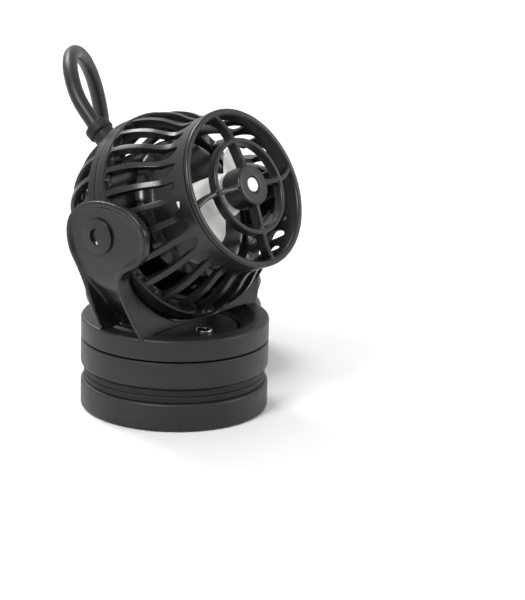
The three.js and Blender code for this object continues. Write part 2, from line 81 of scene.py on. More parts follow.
# Stations along the nozzle axis are measured from the ball's centre
BALL_R = 37
CRADLE_R = 38.3
SLATS = 26
PITCH = TURN / SLATS
SLAT_WIDTH = 2
SLAT_DEPTH = 3
SEAM = -1
FRONT_BAND_END = 3.5
REAR_BAND_END = -4.5
BAND_PROUD = 0.35
BAND_INNER_R = 33.4
REAR_SLOT_END = -32.2
SLOT_END_ROUND = 0.8
REAR_SLOT_ROUND = 1.6
SHOULDER_L = 16
NECK_L = 25.5
NECK_R = 28.3
SLOT_FRONT = 29.4
SLOT_SWEEP = 8
# The share of a slot's closing that its high side takes: little at the front, half at the rear
SWEEP_SHARE = 0.12
EVEN_SHARE = 0.5
COLLAR_WALL = 1.2
RIM_L = 34.1
RIM_R = 28.7
RIM_INNER_R = 26.3
RIM_FRONT = 35.9
COLLAR_BORE_R = 27

RING_INNER_R = 15.65
RING_OUTER_R = 17.4
RING_BACK = 34.4
RING_FRONT = 38.1
HUB_R = 7.3
HUB_BACK = 30
HUB_FRONT = 39.5
SPOKE_WIDTH = 1.9
SPOKE_DEPTH = 4
SPOKES = 4

EAR_X = 41.3
EAR_INNER_X = 38
RIM_WIDTH = 1.6
EAR_DISH = 0.9
ARM_DISH = 9
# The dish's wall slopes over this width, and the web behind it is this thick
DISH_SLOPE = 0.9
WEB = 2.2
DISH_TOP = 56
DISH_DEEP = 46
PIVOT_R = 6.4
PIN_R = 2.3
PIN_HOLE_R = 2.6
PIN_END = 34
PIVOT_RECESS_R = 3.1
HALF_MOON_LEAN = 12
RUNNING_GAP = 0.3
SHAFT_R = 2.6
MOTOR_R = 26
MOTOR_FRONT = 11.6
MOTOR_FILLET = 5
MOTOR_TAPER = -19
MOTOR_BACK = -26.6
MOTOR_BACK_R = 20
MOTOR_WALL = 2
PROPELLER_BACK = 12.3
PROPELLER_FRONT = 29.2
PROPELLER_HUB_R = 8
BLADES = 2
BLADE_ROOT_R = 6.5
BLADE_TIP_R = 20.5
BLADE_EDGE = 65
BLADE_SPAN = 88
BLADE_FRONT = 26
BLADE_FALL = 6

CORD_D = 5.6
COIL_CENTRE = (52.4, 43.9)
COIL_ROWS = 4
COIL_RINGS = (30.8, 25.2)
COIL_START = 150
STEPS_PER_TURN = 36
CONNECTOR_END = (80.4, 30.9, 27.2)
GRIP_PITCH = 2

joints = {joint["name"]: joint for joint in frame["joints"]}
BALL_CENTRE = Vector(joints["tilt"]["pos_m"]) / MM
FORWARD = Vector(joints["rotor_spin"]["axis"]).normalized()
RIGHT = Vector((1, 0, 0))
UPWARD = FORWARD.cross(RIGHT)
# The ball's own frame: X right, Y up across the nozzle, Z out of the nozzle
BALL = Matrix.Translation(BALL_CENTRE) @ Matrix((RIGHT, UPWARD, FORWARD)).transposed().to_4x4()


# ---- Camera ----

def make_camera():
    data = bpy.data.cameras.new("camera")
    data.lens = 151.3
    data.sensor_width = 36
    camera = bpy.data.objects.new("camera", data)
    camera.location = (-0.6692, -0.5555, 0.2916)
    camera.rotation_euler = [math.radians(angle) for angle in (73.81, -1.42, -51.95)]
    bpy.context.scene.collection.objects.link(camera)
    bpy.context.scene.camera = camera


make_camera()


# ---- Mesh helpers ----

def object_from(bm, name, material, body, sharp=35):
    """Scales a millimetre mesh to metres and adds it to the scene as a piece that rides on body."""
    bmesh.ops.recalc_face_normals(bm, faces=bm.faces)
    bmesh.ops.scale(bm, vec=(MM, MM, MM), verts=bm.verts)
    mesh = bpy.data.meshes.new(name)
    bm.to_mesh(mesh)
    bm.free()
    piece = bpy.data.objects.new(name, mesh)
    bpy.context.scene.collection.objects.link(piece)
    mesh.shade_smooth()
    mesh.set_sharp_from_angle(angle=math.radians(sharp))
    mesh.materials.append(material)
    if body:
        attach(piece, body)
    return piece


def rounded(corners, steps=5, closed=False):
    """An outline from (x, y, radius) corners: each corner becomes an arc of that radius."""
    points = []
    count = len(corners)
    for i, (x, y, radius) in enumerate(corners):
        here = Vector((x, y))
        if radius == 0 or (not closed and i in (0, count - 1)):
            points.append(tuple(here))
            continue
        before = Vector(corners[i - 1][:2]) - here
        after = Vector(corners[(i + 1) % count][:2]) - here
        half = before.angle(after) / 2
        reach = min(radius / math.tan(half), before.length * 0.49, after.length * 0.49)
        arc_r = reach * math.tan(half)
        middle = here + (before.normalized() + after.normalized()).normalized() * (arc_r / math.sin(half))
        start = here + before.normalized() * reach - middle
        sweep = start.angle_signed(here + after.normalized() * reach - middle)
        for k in range(steps + 1):
            turn = Matrix.Rotation(-sweep * k / steps, 2)
            points.append(tuple(middle + turn @ start))
    return points


def revolve(bm, outline, place=Matrix(), segments=160, closed=False):
    """Turns an (r, z) outline about Z into bm. An open outline starts and ends on the axis."""
    rings = []
    for r, z in outline:
        if r < 1e-6:
            rings.append([bm.verts.new(place @ Vector((0, 0, z)))])
            continue
        angles = [TURN * k / segments for k in range(segments)]
        rings.append([bm.verts.new(place @ Vector((r * math.cos(a), r * math.sin(a), z))) for a in angles])
    pairs = list(zip(rings, rings[1:]))
    if closed:
        pairs.append((rings[-1], rings[0]))
    for low, high in pairs:
        for k in range(segments):
            after = (k + 1) % segments
            if len(low) == 1 and len(high) == 1:
                continue
            if len(low) == 1:
                bm.faces.new((low[0], high[after], high[k]))
            elif len(high) == 1:
                bm.faces.new((low[k], low[after], high[0]))
            else:
                bm.faces.new((low[k], low[after], high[after], high[k]))
    return bm


def turned(name, corners, material, body, place=Matrix(), segments=160, closed=False, steps=5):
    bm = bmesh.new()
    revolve(bm, rounded(corners, steps, closed), place, segments, closed)
    return object_from(bm, name, material, body)


def prism(bm, outline, depth, place):
    """Extrudes a closed (x, y) outline along Z by depth, then moves it by place."""
    low = [bm.verts.new(place @ Vector((x, y, 0))) for x, y in outline]
    high = [bm.verts.new(place @ Vector((x, y, depth))) for x, y in outline]
    count = len(outline)
    bm.faces.new(low[::-1])
    bm.faces.new(high)
    for k in range(count):
        after = (k + 1) % count
        bm.faces.new((low[k], low[after], high[after], high[k]))
    return bm


def bezier(p0, p1, p2, p3, steps=14):
    points = []
    for k in range(steps):
        t = k / steps
        weights = ((1 - t) ** 3, 3 * t * (1 - t) ** 2, 3 * t * t * (1 - t), t ** 3)
        points.append(tuple(sum(w * p[i] for w, p in zip(weights, (p0, p1, p2, p3))) for i in (0, 1)))
    return points


def apply_modifiers(piece):
    """Replaces the piece's mesh by the result of its modifiers."""
    graph = bpy.context.evaluated_depsgraph_get()
    graph.update()
    mesh = bpy.data.meshes.new_from_object(piece.evaluated_get(graph))
    piece.modifiers.clear()
    old = piece.data
    piece.data = mesh
    bpy.data.meshes.remove(old)
    return piece


def boolean(piece, other, operation):
    modifier = piece.modifiers.new(operation.lower(), "BOOLEAN")
    modifier.operation = operation
    modifier.solver = "EXACT"
    modifier.object = other
    apply_modifiers(piece)
    mesh = other.data
    bpy.data.objects.remove(other)
    bpy.data.meshes.remove(mesh)
    return piece


def moulded(piece, voxel, smoothing):
    """Remeshes a solid finely and softens its edges, as a moulding's are."""
    remesh = piece.modifiers.new("remesh", "REMESH")
    remesh.mode = "VOXEL"
    remesh.voxel_size = voxel * MM
    smooth = piece.modifiers.new("smooth", "SMOOTH")
    smooth.factor = 0.5
    smooth.iterations = smoothing
    apply_modifiers(piece)
    piece.data.shade_smooth()
    return piece


# ---- Materials ----

def nodes_of(name):
    material = bpy.data.materials.new(name)
    material.use_nodes = True
    tree = material.node_tree
    return material, tree, tree.nodes["Principled BSDF"]


def noise(tree, scale, detail=2.0, roughness=0.5):
    """Noise in the row frame, so that it sits still on the piece. Scale is waves per metre."""
    coords = tree.nodes.get("coords") or tree.nodes.new("ShaderNodeTexCoord")
    coords.name = "coords"
    node = tree.nodes.new("ShaderNodeTexNoise")
    node.inputs["Scale"].default_value = scale
    node.inputs["Detail"].default_value = detail
    node.inputs["Roughness"].default_value = roughness
    tree.links.new(coords.outputs["Object"], node.inputs["Vector"])
    return node.outputs["Fac"]


def ramp(tree, value, low, high, from_low=0.3, from_high=0.7):
    node = tree.nodes.new("ShaderNodeMapRange")
    node.inputs["From Min"].default_value = from_low
    node.inputs["From Max"].default_value = from_high
    node.inputs["To Min"].default_value = low
    node.inputs["To Max"].default_value = high
    tree.links.new(value, node.inputs["Value"])
    return node.outputs["Result"]


def mixed(tree, factor, first, second):
    node = tree.nodes.new("ShaderNodeMix")
    node.data_type = "RGBA"
    node.inputs["A"].default_value = (*first, 1)
    node.inputs["B"].default_value = (*second, 1)
    tree.links.new(factor, node.inputs["Factor"])
    return node.outputs["Result"]


def bump(tree, shader, layers):
    """Stacks bump layers of (height, depth in metres, strength)."""
    last = None
    for height, depth, strength in layers:
        node = tree.nodes.new("ShaderNodeBump")
        node.inputs["Distance"].default_value = depth
        node.inputs["Strength"].default_value = strength
        tree.links.new(height, node.inputs["Height"])
        if last:
            tree.links.new(last, node.inputs["Normal"])
        last = node.outputs["Normal"]
    tree.links.new(last, shader.inputs["Normal"])


def plastic(name, dark, light, roughness, grain, grain_depth, specular=0.5):
    """Moulded plastic: two close tints, cloudy roughness, fine grain and slow moulding waves. The grain is in
    waves per metre, and its depth in metres."""
    material, tree, shader = nodes_of(name)
    cloud = noise(tree, 60, 4, 0.6)
    tree.links.new(mixed(tree, ramp(tree, cloud, 0, 1), dark, light), shader.inputs["Base Color"])
    low, high = roughness
    tree.links.new(ramp(tree, noise(tree, 240, 5, 0.65), low, high), shader.inputs["Roughness"])
    shader.inputs["Specular IOR Level"].default_value = specular
    layers = [
        (noise(tree, grain, 2, 0.5), grain_depth, 0.5),
        (noise(tree, 90, 1, 0.4), 0.00012, 0.25),
    ]
    bump(tree, shader, layers)
    return material


def metal(name, colour, low, high, scratch=900):
    material, tree, shader = nodes_of(name)
    shader.inputs["Metallic"].default_value = 1
    cloud = noise(tree, scratch, 3, 0.6)
    paler = tuple(min(1, c * 1.15) for c in colour)
    tree.links.new(mixed(tree, ramp(tree, cloud, 0, 1), colour, paler), shader.inputs["Base Color"])
    tree.links.new(ramp(tree, cloud, low, high), shader.inputs["Roughness"])
    bump(tree, shader, [(noise(tree, scratch * 2, 2, 0.5), 0.00001, 0.4)])
    return material


MAT = {
    "charcoal_abs": plastic(
        "charcoal_abs", (0.009, 0.0095, 0.01), (0.015, 0.0155, 0.016), (0.4, 0.52), 2600, 0.00004, 0.36),
    "yoke_abs": plastic(
        "yoke_abs", (0.005, 0.005, 0.0055), (0.009, 0.009, 0.01), (0.25, 0.36), 2200, 0.00002, 0.4),
    "cage_abs": plastic(
        "cage_abs", (0.0045, 0.0045, 0.005), (0.008, 0.008, 0.0085), (0.26, 0.36), 2200, 0.00002, 0.4),
    "grille_abs": plastic(
        "grille_abs", (0.006, 0.0052, 0.005), (0.011, 0.0095, 0.009), (0.27, 0.38), 2200, 0.00002, 0.4),
    "gloss_black": plastic(
        "gloss_black", (0.0015, 0.0015, 0.002), (0.003, 0.003, 0.004), (0.22, 0.26), 1500, 0.000006, 0.4),
    "white_plastic": plastic(
        "white_plastic", (0.84, 0.87, 0.81), (0.89, 0.91, 0.86), (0.34, 0.46), 1800, 0.000015),
    "ceramic": plastic(
        "ceramic", (0.84, 0.82, 0.78), (0.9, 0.88, 0.85), (0.15, 0.25), 1500, 0.000006),
    "rubber": plastic(
        "rubber", (0.005, 0.005, 0.005), (0.008, 0.008, 0.008), (0.5, 0.66), 3000, 0.00005, 0.3),
    "cord_jacket": plastic(
        "cord_jacket", (0.005, 0.005, 0.0055), (0.008, 0.008, 0.009), (0.36, 0.46), 2600, 0.00002, 0.4),
    "steel": metal("steel", (0.5, 0.51, 0.53), 0.18, 0.3),
    "magnet": metal("magnet", (0.42, 0.42, 0.43), 0.22, 0.34),
    "copper": metal("copper", (0.6, 0.27, 0.13), 0.25, 0.4),
}


# ---- Lead ----

# The run from the gland to the coil, in millimetres, as the CAD model has it
CORD_ROUTE = [
    (0, 39.3, 96.9), (0.3, 47.4, 105.2), (4.4, 54.9, 112.9), (12.4, 62.2, 117), (22.3, 68.2, 116.3),
    (31.7, 72.1, 110.9), (38.9, 74.3, 102.1), (43.7, 75.4, 91.5), (47.1, 76.5, 80.5), (49.8, 78, 69.2),
    (50.5, 78, 57.8), (48.8, 77.8, 46.3), (45, 77.2, 35.5), (39, 73.8, 26.6), (31.9, 68, 20.9),
]


def smooth_run(points, steps=8):
    """A centripetal Catmull-Rom curve through the points."""
    points = [Vector(p) for p in points]
    points = [2 * points[0] - points[1], *points, 2 * points[-1] - points[-2]]
    run = []
    for p0, p1, p2, p3 in zip(points, points[1:], points[2:], points[3:]):
        d0, d1, d2 = (max((b - a).length ** 0.5, 1e-4) for a, b in ((p0, p1), (p1, p2), (p2, p3)))
        m1 = ((p1 - p0) / d0 - (p2 - p0) / (d0 + d1) + (p2 - p1) / d1) * d1
        m2 = ((p2 - p1) / d1 - (p3 - p1) / (d1 + d2) + (p3 - p2) / d2) * d1
        for k in range(steps):
            t = k / steps
            a, b = 2 * t ** 3 - 3 * t ** 2 + 1, t ** 3 - 2 * t ** 2 + t
            run.append(a * p1 + b * m1 + (1 - a) * p2 + (t ** 3 - t ** 2) * m2)
    run.append(points[-2])
    return run


def coil_run():
    """Down the outer column of turns, in under it, up the inner column and over the top to the connector."""
    outer, inner = COIL_RINGS
    top = CORD_D * (COIL_ROWS - 0.5)
    low = CORD_D / 2
    down = (COIL_ROWS - 1) * STEPS_PER_TURN
    run = []
    for k in range(down + 1):
        run.append((outer, top - (top - low) * k / down))
    for k in range(1, STEPS_PER_TURN + 1):
        ease = 0.5 - 0.5 * math.cos(math.pi * k / STEPS_PER_TURN)
        run.append((outer + (inner - outer) * ease, low))
    for k in range(1, down + 1):
        run.append((inner, low + (top - low) * k / down))
    last = Vector(CONNECTOR_END) - Vector((*COIL_CENTRE, 0))
    sweep = (math.atan2(last.y, last.x) - math.radians(COIL_START)) % TURN
    over = round(sweep / TURN * STEPS_PER_TURN)
    for k in range(1, over + 1):
        ease = 0.5 - 0.5 * math.cos(math.pi * k / over)
        run.append((inner + (last.to_2d().length - inner) * ease, top + (last.z - top) * ease))
    points = []
    for k, (r, z) in enumerate(run):
        angle = math.radians(COIL_START) + TURN * k / STEPS_PER_TURN
        points.append(Vector((COIL_CENTRE[0] + r * math.cos(angle), COIL_CENTRE[1] + r * math.sin(angle), z)))
    points[-1] = Vector(CONNECTOR_END)
    return points


def tube(bm, run, radius, sides=16):
    """A round tube along the run, its section carried along without twist."""
    across = (run[1] - run[0]).orthogonal().normalized()
    loops = []
    for k, point in enumerate(run):
        along = (run[min(k + 1, len(run) - 1)] - run[max(k - 1, 0)]).normalized()
        across = (across - along * across.dot(along)).normalized()
        other = along.cross(across)
        turns = [TURN * i / sides for i in range(sides)]
        spokes = [math.cos(a) * across + math.sin(a) * other for a in turns]
        loops.append([bm.verts.new(point + radius * spoke) for spoke in spokes])
    for low, high in zip(loops, loops[1:]):
        for i in range(sides):
            after = (i + 1) % sides
            bm.faces.new((low[i], low[after], high[after], high[i]))
    bm.faces.new(loops[0][::-1])
    bm.faces.new(loops[-1])


def make_connector():
    """A barrel connector with a ribbed grip and a short sleeve on the lead's side."""
    x, y, z = CONNECTOR_END
    # Its axis runs along +Y from the end of the lead
    place = Matrix.Translation((x, y, z)) @ Matrix.Rotation(-math.pi / 2, 4, "X")
    corners = [(0, 0, 0), (3.1, 0, 0.3), (3.5, 7, 0.6), (4.4, 8, 0.5)]
    for k in range(5):
        rib = 10 + k * GRIP_PITCH
        corners += [(4.4, rib, 0.2), (4, rib + 0.4, 0.2), (4, rib + 1, 0.2), (4.4, rib + 1.4, 0.2)]
    corners += [(4.4, 21, 0.5), (3.2, 21.4, 0.2), (3.2, 26, 0.4), (2.6, 26, 0.2), (2.6, 23, 0), (0, 23, 0)]
    connector = turned("lead_connector", corners, MAT["gloss_black"], "yoke", place, 64, steps=3)
    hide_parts("cord_connector")
    return connector


def make_cord(connector):
    coil = coil_run()
    run = smooth_run(CORD_ROUTE + coil[:3]) + coil[3:]
    bm = bmesh.new()
    tube(bm, run, CORD_D / 2)
    lead = object_from(bm, "power_lead", MAT["cord_jacket"], None)
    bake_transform(lead)
    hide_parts("power_cord", "cord_coil")


make_cord(make_connector())


# ---- Magnet mount ----

def make_mount():
    dry = turned("dry_magnet_shell", [
        (0, 0, 0), (PUCK_R, 0, 1), (PUCK_R, DRY_TOP, 1.1), (PUCK_R - 4, DRY_TOP, 0),
        (PUCK_R - 4, DRY_TOP - SHELL_WALL, 0), (0, DRY_TOP - SHELL_WALL, 0),
    ], MAT["charcoal_abs"], "dry_magnet", segments=200)
    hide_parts("dry_magnet_housing")
    for name, node, body, low, high in (
        ("dry_rubber_pad", "dry_pad", "dry_magnet", DRY_TOP, PAD_SEAM - PAD_GAP),
        ("wet_rubber_pad", "wet_pad", "wet_base", PAD_SEAM + PAD_GAP, WET_BOTTOM),
    ):
        corners = [(0, low, 0), (PAD_R, low, 0.4), (PAD_R, high, 0.6), (0, high, 0)]
        pad = turned(name, corners, MAT["rubber"], body, segments=200)
        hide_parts(node)
    wet = turned("wet_magnet_shell", [
        (0, WET_BOTTOM, 0), (PUCK_R, WET_BOTTOM, 1.6), (PUCK_R, WET_TOP, 0.5), (POST_R, WET_TOP, 0),
        (POST_R, RETAINER_TOP - 1.5, 0), (0, RETAINER_TOP - 1.5, 0),
    ], MAT["charcoal_abs"], "wet_base", segments=200)
    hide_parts("wet_magnet_housing")
    plate = turned("retainer_disc", [
        (0, RETAINER_TOP - 1.4, 0), (RETAINER_R, RETAINER_TOP - 1.4, 0), (RETAINER_R, RETAINER_TOP, 0.4),
        (0, RETAINER_TOP, 0),
    ], MAT["charcoal_abs"], "wet_base", segments=160)
    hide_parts("retainer_plate")


def make_screws():
    """Pan head screws with a round socket, in the places of the CAD screws."""
    for k in range(1, SCREWS + 1):
        low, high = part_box(f"retainer_screw_{k}")
        middle = (Vector(low) + Vector(high)) / 2 / MM
        place = Matrix.Translation((middle.x, middle.y, RETAINER_TOP))
        screw = turned(f"pan_head_screw_{k}", [
            (0, -2, 0), (1.2, -2, 0), (1.2, 0, 0), (3, 0, 0.1), (3, 1.1, 0.5), (1.5, 1.75, 0.3),
            (1.3, 1.6, 0), (1.3, 0.6, 0), (0, 0.6, 0),
        ], MAT["steel"], "wet_base", place, 48)
        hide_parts(f"retainer_screw_{k}")


make_mount()
make_screws()


# ---- Yoke ----

def arm_side():
    """Side outline of the left arm and ear: forward and height."""
    outline = bezier((12.3, TURNTABLE_TOP - 2), (11, 42), (7, 48), (7.9, 54))
    outline += bezier((7.9, 54), (8.2, 57.5), (10.5, 58.6), (13, 60), 8)
    outline += bezier((13, 60), (19.5, 63), (20.4, 67), (20.4, 71))
    outline += bezier((20.4, 71), (20.4, 79), (11, 82.4), (2, 82.4))
    outline += bezier((2, 82.4), (-7, 82.4), (-15.8, 78), (-15.8, 69.7))
    outline += bezier((-15.8, 69.7), (-15.8, 62), (-10.5, 58), (-9.4, 48))
    outline += [(-9.4, 48), (-7.6, TURNTABLE_TOP - 2)]
    return outline


def arm_section():
    """Front section of the left arm: x and height, leaning out from the turntable to the ear."""
    outline = [(-31.2, TURNTABLE_TOP - 2)]
    outline += bezier((-31.2, TURNTABLE_TOP - 2), (-35, 37), (-38.8, 48), (-EAR_X, 62))
    outline += [(-EAR_X, 62), (-EAR_X, 84), (-EAR_INNER_X, 84), (-EAR_INNER_X, 58)]
    outline += [(0.5, 58), (0.5, TURNTABLE_TOP - 2)]
    return outline


def distance_inside(outline, y, z):
    """Distance of each point to the outline, below zero outside it."""
    inside = np.zeros(len(y), bool)
    nearest = np.full(len(y), 1e9)
    for (y0, z0), (y1, z1) in zip(outline, outline[1:] + outline[:1]):
        dy, dz = y1 - y0, z1 - z0
        length = dy * dy + dz * dz
        if length < 1e-9:
            continue
        t = np.clip(((y - y0) * dy + (z - z0) * dz) / length, 0, 1)
        nearest = np.minimum(nearest, np.hypot(y - y0 - t * dy, z - z0 - t * dz))
        if dz:
            crosses = ((z0 > z) != (z1 > z)) & (y < y0 + (z - z0) / dz * dy)
            inside ^= crosses
    return np.where(inside, nearest, -nearest)


def carve_arms(arms, section):
    """Dishes the outer face of both arms inside a standing rim: shallow on the ear, and low on the arm right
    in to a thin web round the ball."""
    spots = np.array([v.co for v in arms.data.vertices]) / MM
    forward, height = -spots[:, 1], spots[:, 2]
    face = sorted((z, -x) for x, z in section if x <= -31)
    outer = np.interp(height, [z for z, x in face], [x for z, x in face])
    # Only the outer face moves: 1 on it, and 0 from 2.1 mm under it on
    near = np.clip(1 - (outer - np.abs(spots[:, 0]) - 0.6) / 1.5, 0, 1)
    edge = distance_inside(arm_side(), forward, height)
    rise = np.clip((edge - RIM_WIDTH) / DISH_SLOPE, 0, 1)
    web = (CRADLE_R + WEB) ** 2 - (height - BALL_CENTRE.z) ** 2 - (forward + BALL_CENTRE.y) ** 2
    deep = np.clip(outer - np.sqrt(np.maximum(web, 0)), EAR_DISH, ARM_DISH)
    fall = np.clip((DISH_TOP - height) / (DISH_TOP - DISH_DEEP), 0, 1)
    dish = EAR_DISH + (deep - EAR_DISH) * fall * fall * (3 - 2 * fall)
    spots[:, 0] -= np.sign(spots[:, 0]) * near * dish * rise * rise * (3 - 2 * rise)
    arms.data.vertices.foreach_set("co", (spots * MM).astype(np.float32).ravel())
    arms.data.update()


# Outline x -> -Y, outline y -> Z, depth -> -X, and its twin for the section along Y
SIDEWAYS = Matrix(((0, 0, -1, 0), (-1, 0, 0, 0), (0, 1, 0, 0), (0, 0, 0, 1)))
ENDWAYS = Matrix(((1, 0, 0, 0), (0, 0, -1, 0), (0, 1, 0, 0), (0, 0, 0, 1)))


def solid(name, build):
    bm = bmesh.new()
    build(bm)
    return object_from(bm, name, MAT["yoke_abs"], None)


def mirrored(bm):
    twin = bmesh.ops.duplicate(bm, geom=bm.verts[:] + bm.edges[:] + bm.faces[:])["geom"]
    verts = [item for item in twin if isinstance(item, bmesh.types.BMVert)]
    bmesh.ops.scale(bm, vec=(-1, 1, 1), verts=verts)


def make_yoke():
    section = arm_section()
    arms = solid("yoke_arms", lambda bm: prism(bm, arm_side(), 45, SIDEWAYS))
    front = solid("cut", lambda bm: prism(bm, section, 60, Matrix.Translation((0, 30, 0)) @ ENDWAYS))
    boolean(arms, front, "INTERSECT")

    def ball(bm):
        place = Matrix.Translation(BALL_CENTRE)
        bmesh.ops.create_uvsphere(bm, u_segments=160, v_segments=100, radius=CRADLE_R, matrix=place)

    boolean(arms, solid("cut", ball), "DIFFERENCE")

    def bowl(bm):
        low = TURNTABLE_TOP - 3
        revolve(bm, [(0, low), (BOWL_R, low), (BOWL_R, TURNTABLE_TOP), (0, TURNTABLE_TOP)])

    boolean(arms, solid("cut", bowl), "DIFFERENCE")
    mesh = arms.data
    bm = bmesh.new()
    bm.from_mesh(mesh)
    mirrored(bm)
    bmesh.ops.recalc_face_normals(bm, faces=bm.faces)
    bm.to_mesh(mesh)
    bm.free()
    moulded(arms, 0.4, 1)
    carve_arms(arms, section)
    moulded(arms, 0.35, 3)
    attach(arms, "yoke")
    table = turned("yoke_turntable", [
        (POST_R + POST_GAP, TURNTABLE_BOTTOM, 0.2), (PUCK_R, TURNTABLE_BOTTOM, 0.4),
        (PUCK_R, TURNTABLE_TOP, 1), (BOWL_R, TURNTABLE_TOP, 0.8), (RETAINER_R + 1.5, RETAINER_TOP + 1, 1.5),
        (RETAINER_R + 0.6, TURNTABLE_SHELF, 0.3), (POST_R + POST_GAP, TURNTABLE_SHELF, 0.2),
    ], MAT["charcoal_abs"], "yoke", segments=200, closed=True)
    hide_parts("yoke")


make_yoke()


def make_pivots():
    for side, name in ((-1, "left"), (1, "right")):
        place = Matrix.Translation(BALL_CENTRE) @ Matrix.Rotation(side * math.pi / 2, 4, "Y")
        outer = EAR_X + 0.1
        button = turned(f"pivot_cap_{name}", [
            (0, PIN_END, 0), (PIN_R, PIN_END, 0.3), (PIN_R, outer - 2.4, 0), (PIVOT_R, outer - 2.4, 0),
            (PIVOT_R, outer, 0.3), (0, outer + 0.2, 0),
        ], MAT["yoke_abs"], "yoke", place, 96)
        # A half-moon recess on the rear side of its middle
        turns = [math.radians(HALF_MOON_LEAN + 180 * k / 16) for k in range(17)]
        half_moon = [(PIVOT_RECESS_R * math.cos(a), PIVOT_RECESS_R * math.sin(a)) for a in turns]
        bottom = place @ Matrix.Translation((0, 0, outer - 1.6))
        boolean(button, solid("recess", lambda bm: prism(bm, half_moon, 3, bottom)), "DIFFERENCE")
        button.data.set_sharp_from_angle(angle=math.radians(35))
        # The bright end of the pin shows at the recess's low end
        low = place @ Matrix.Translation((side * 0.72 * PIVOT_RECESS_R, 0, 0))
        pin = turned(f"pivot_pin_{name}", [
            (0, outer - 1.8, 0), (0.8, outer - 1.8, 0), (0.8, outer - 0.1, 0.5), (0, outer + 0.1, 0),
        ], MAT["steel"], "yoke", low, 48)
        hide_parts(f"pivot_button_{name}")
        washer = turned(f"pivot_ring_{name}", [
            (PIN_HOLE_R, 37.4, 0.1), (5.6, 37.4, 0.15), (5.6, 37.9, 0.15), (PIN_HOLE_R, 37.9, 0.1),
        ], MAT["rubber"], "yoke", place, 96, True, 3)
        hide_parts(f"pivot_washer_{name}")


make_pivots()


# ---- Cages ----

def hermite(t, p0, m0, p1, m1):
    a, b = 2 * t ** 3 - 3 * t ** 2 + 1, t ** 3 - 2 * t ** 2 + t
    return a * p0 + b * m0 + (1 - a) * p1 + (t ** 3 - t ** 2) * m1


def cage_radius(l):
    """Outer radius along the nozzle axis: a sphere that runs into a concave neck."""
    if l <= SHOULDER_L:
        return math.sqrt(max(BALL_R ** 2 - l ** 2, 0))
    shoulder = math.sqrt(BALL_R ** 2 - SHOULDER_L ** 2)
    if l <= NECK_L:
        span = NECK_L - SHOULDER_L
        return hermite((l - SHOULDER_L) / span, shoulder, -SHOULDER_L / shoulder * span, NECK_R, -0.05 * span)
    span = RIM_L - NECK_L
    return hermite((l - NECK_L) / span, NECK_R, -0.05 * span, RIM_R, 0.1 * span)


def slotted_shell(name, rows, body, columns=6):
    """A slatted shell of revolution. Each row is (l, outer radius, inner radius, reach): reach is how far a
    slat spreads to either side of its middle, and where the two add up to the pitch the row is solid."""
    bm = bmesh.new()
    spots = {}
    solid_rows = [sum(row[3]) > PITCH - 1e-6 for row in rows]
    for i in range(SLATS):
        for j, (l, outer, inner, reach) in enumerate(rows):
            for k in range(columns + 1):
                if solid_rows[j] and k == columns:
                    continue
                side = 2 * k / columns - 1
                angle = math.pi / 2 + i * PITCH + side * (reach[0] if side < 0 else reach[1])
                for layer, r in ((0, outer), (1, inner)):
                    spot = BALL @ Vector((r * math.cos(angle), r * math.sin(angle), l))
                    spots[i, j, k, layer] = bm.verts.new(spot)
    for i in range(SLATS):
        for j in range(len(rows)):
            if solid_rows[j]:
                for layer in (0, 1):
                    spots[i, j, columns, layer] = spots[(i + 1) % SLATS, j, 0, layer]
    for i in range(SLATS):
        for j in range(len(rows) - 1):
            for k in range(columns):
                for layer in (0, 1):
                    corners = ((j, k), (j + 1, k), (j + 1, k + 1), (j, k + 1))
                    bm.faces.new([spots[i, a, b, layer] for a, b in corners][:: 1 - 2 * layer])
            if solid_rows[j] and solid_rows[j + 1]:
                continue
            for k in (0, columns):
                corners = ((j, 0), (j + 1, 0), (j + 1, 1), (j, 1))
                bm.faces.new([spots[i, a, k, layer] for a, layer in corners])
        for j in (0, len(rows) - 1):
            for k in range(columns):
                corners = ((k, 0), (k + 1, 0), (k + 1, 1), (k, 1))
                bm.faces.new([spots[i, j, b, layer] for b, layer in corners])
    bmesh.ops.remove_doubles(bm, verts=bm.verts, dist=1e-4)
    bmesh.ops.recalc_face_normals(bm, faces=bm.faces)
    bm.normal_update()
    edges = [e for e in bm.edges if len(e.link_faces) == 2 and e.calc_face_angle(0) > math.radians(50)]
    bmesh.ops.bevel(bm, geom=edges, offset=0.35, segments=3, profile=0.5, affect="EDGES", clamp_overlap=True)
    return object_from(bm, name, MAT["cage_abs"], body, 60)


def opening(distance, length):
    """How open a slot's side is near its end: 0 at the end, 1 from length on, along a quarter ellipse."""
    share = min(max(distance / length, 0), 1)
    return math.sqrt(1 - (1 - share) ** 2)


def reaches(l, r, start, end, start_round, end_round, high_share):
    """A slat's reach to either side at l. At the slot's start both sides round in evenly, and at its end they
    close it over end_round, the high side taking high_share of the way and the low side the rest."""
    slat = math.asin(SLAT_WIDTH / 2 / r)
    slot = PITCH - 2 * slat
    even = 1 - opening(abs(l - start), start_round)
    closed = 1 - opening(abs(end - l), end_round)
    low = slat + slot * max(even / 2, closed * (1 - high_share))
    high = slat + slot * max(even / 2, closed * high_share)
    return low, high


def span(start, end, count):
    return [start + (end - start) * k / count for k in range(count + 1)]


def rounded_span(start, end, start_round, end_round, count):
    """Stations from start to end, close together where the slot's ends are round."""
    way = 1 if end > start else -1
    head = [start + way * start_round * (1 - math.cos(a)) for a in span(0, math.pi / 2, 5)]
    tail = [end - way * end_round * (1 - math.cos(a)) for a in span(math.pi / 2, 0, 8)]
    return head + span(head[-1], tail[0], count)[1:-1] + tail


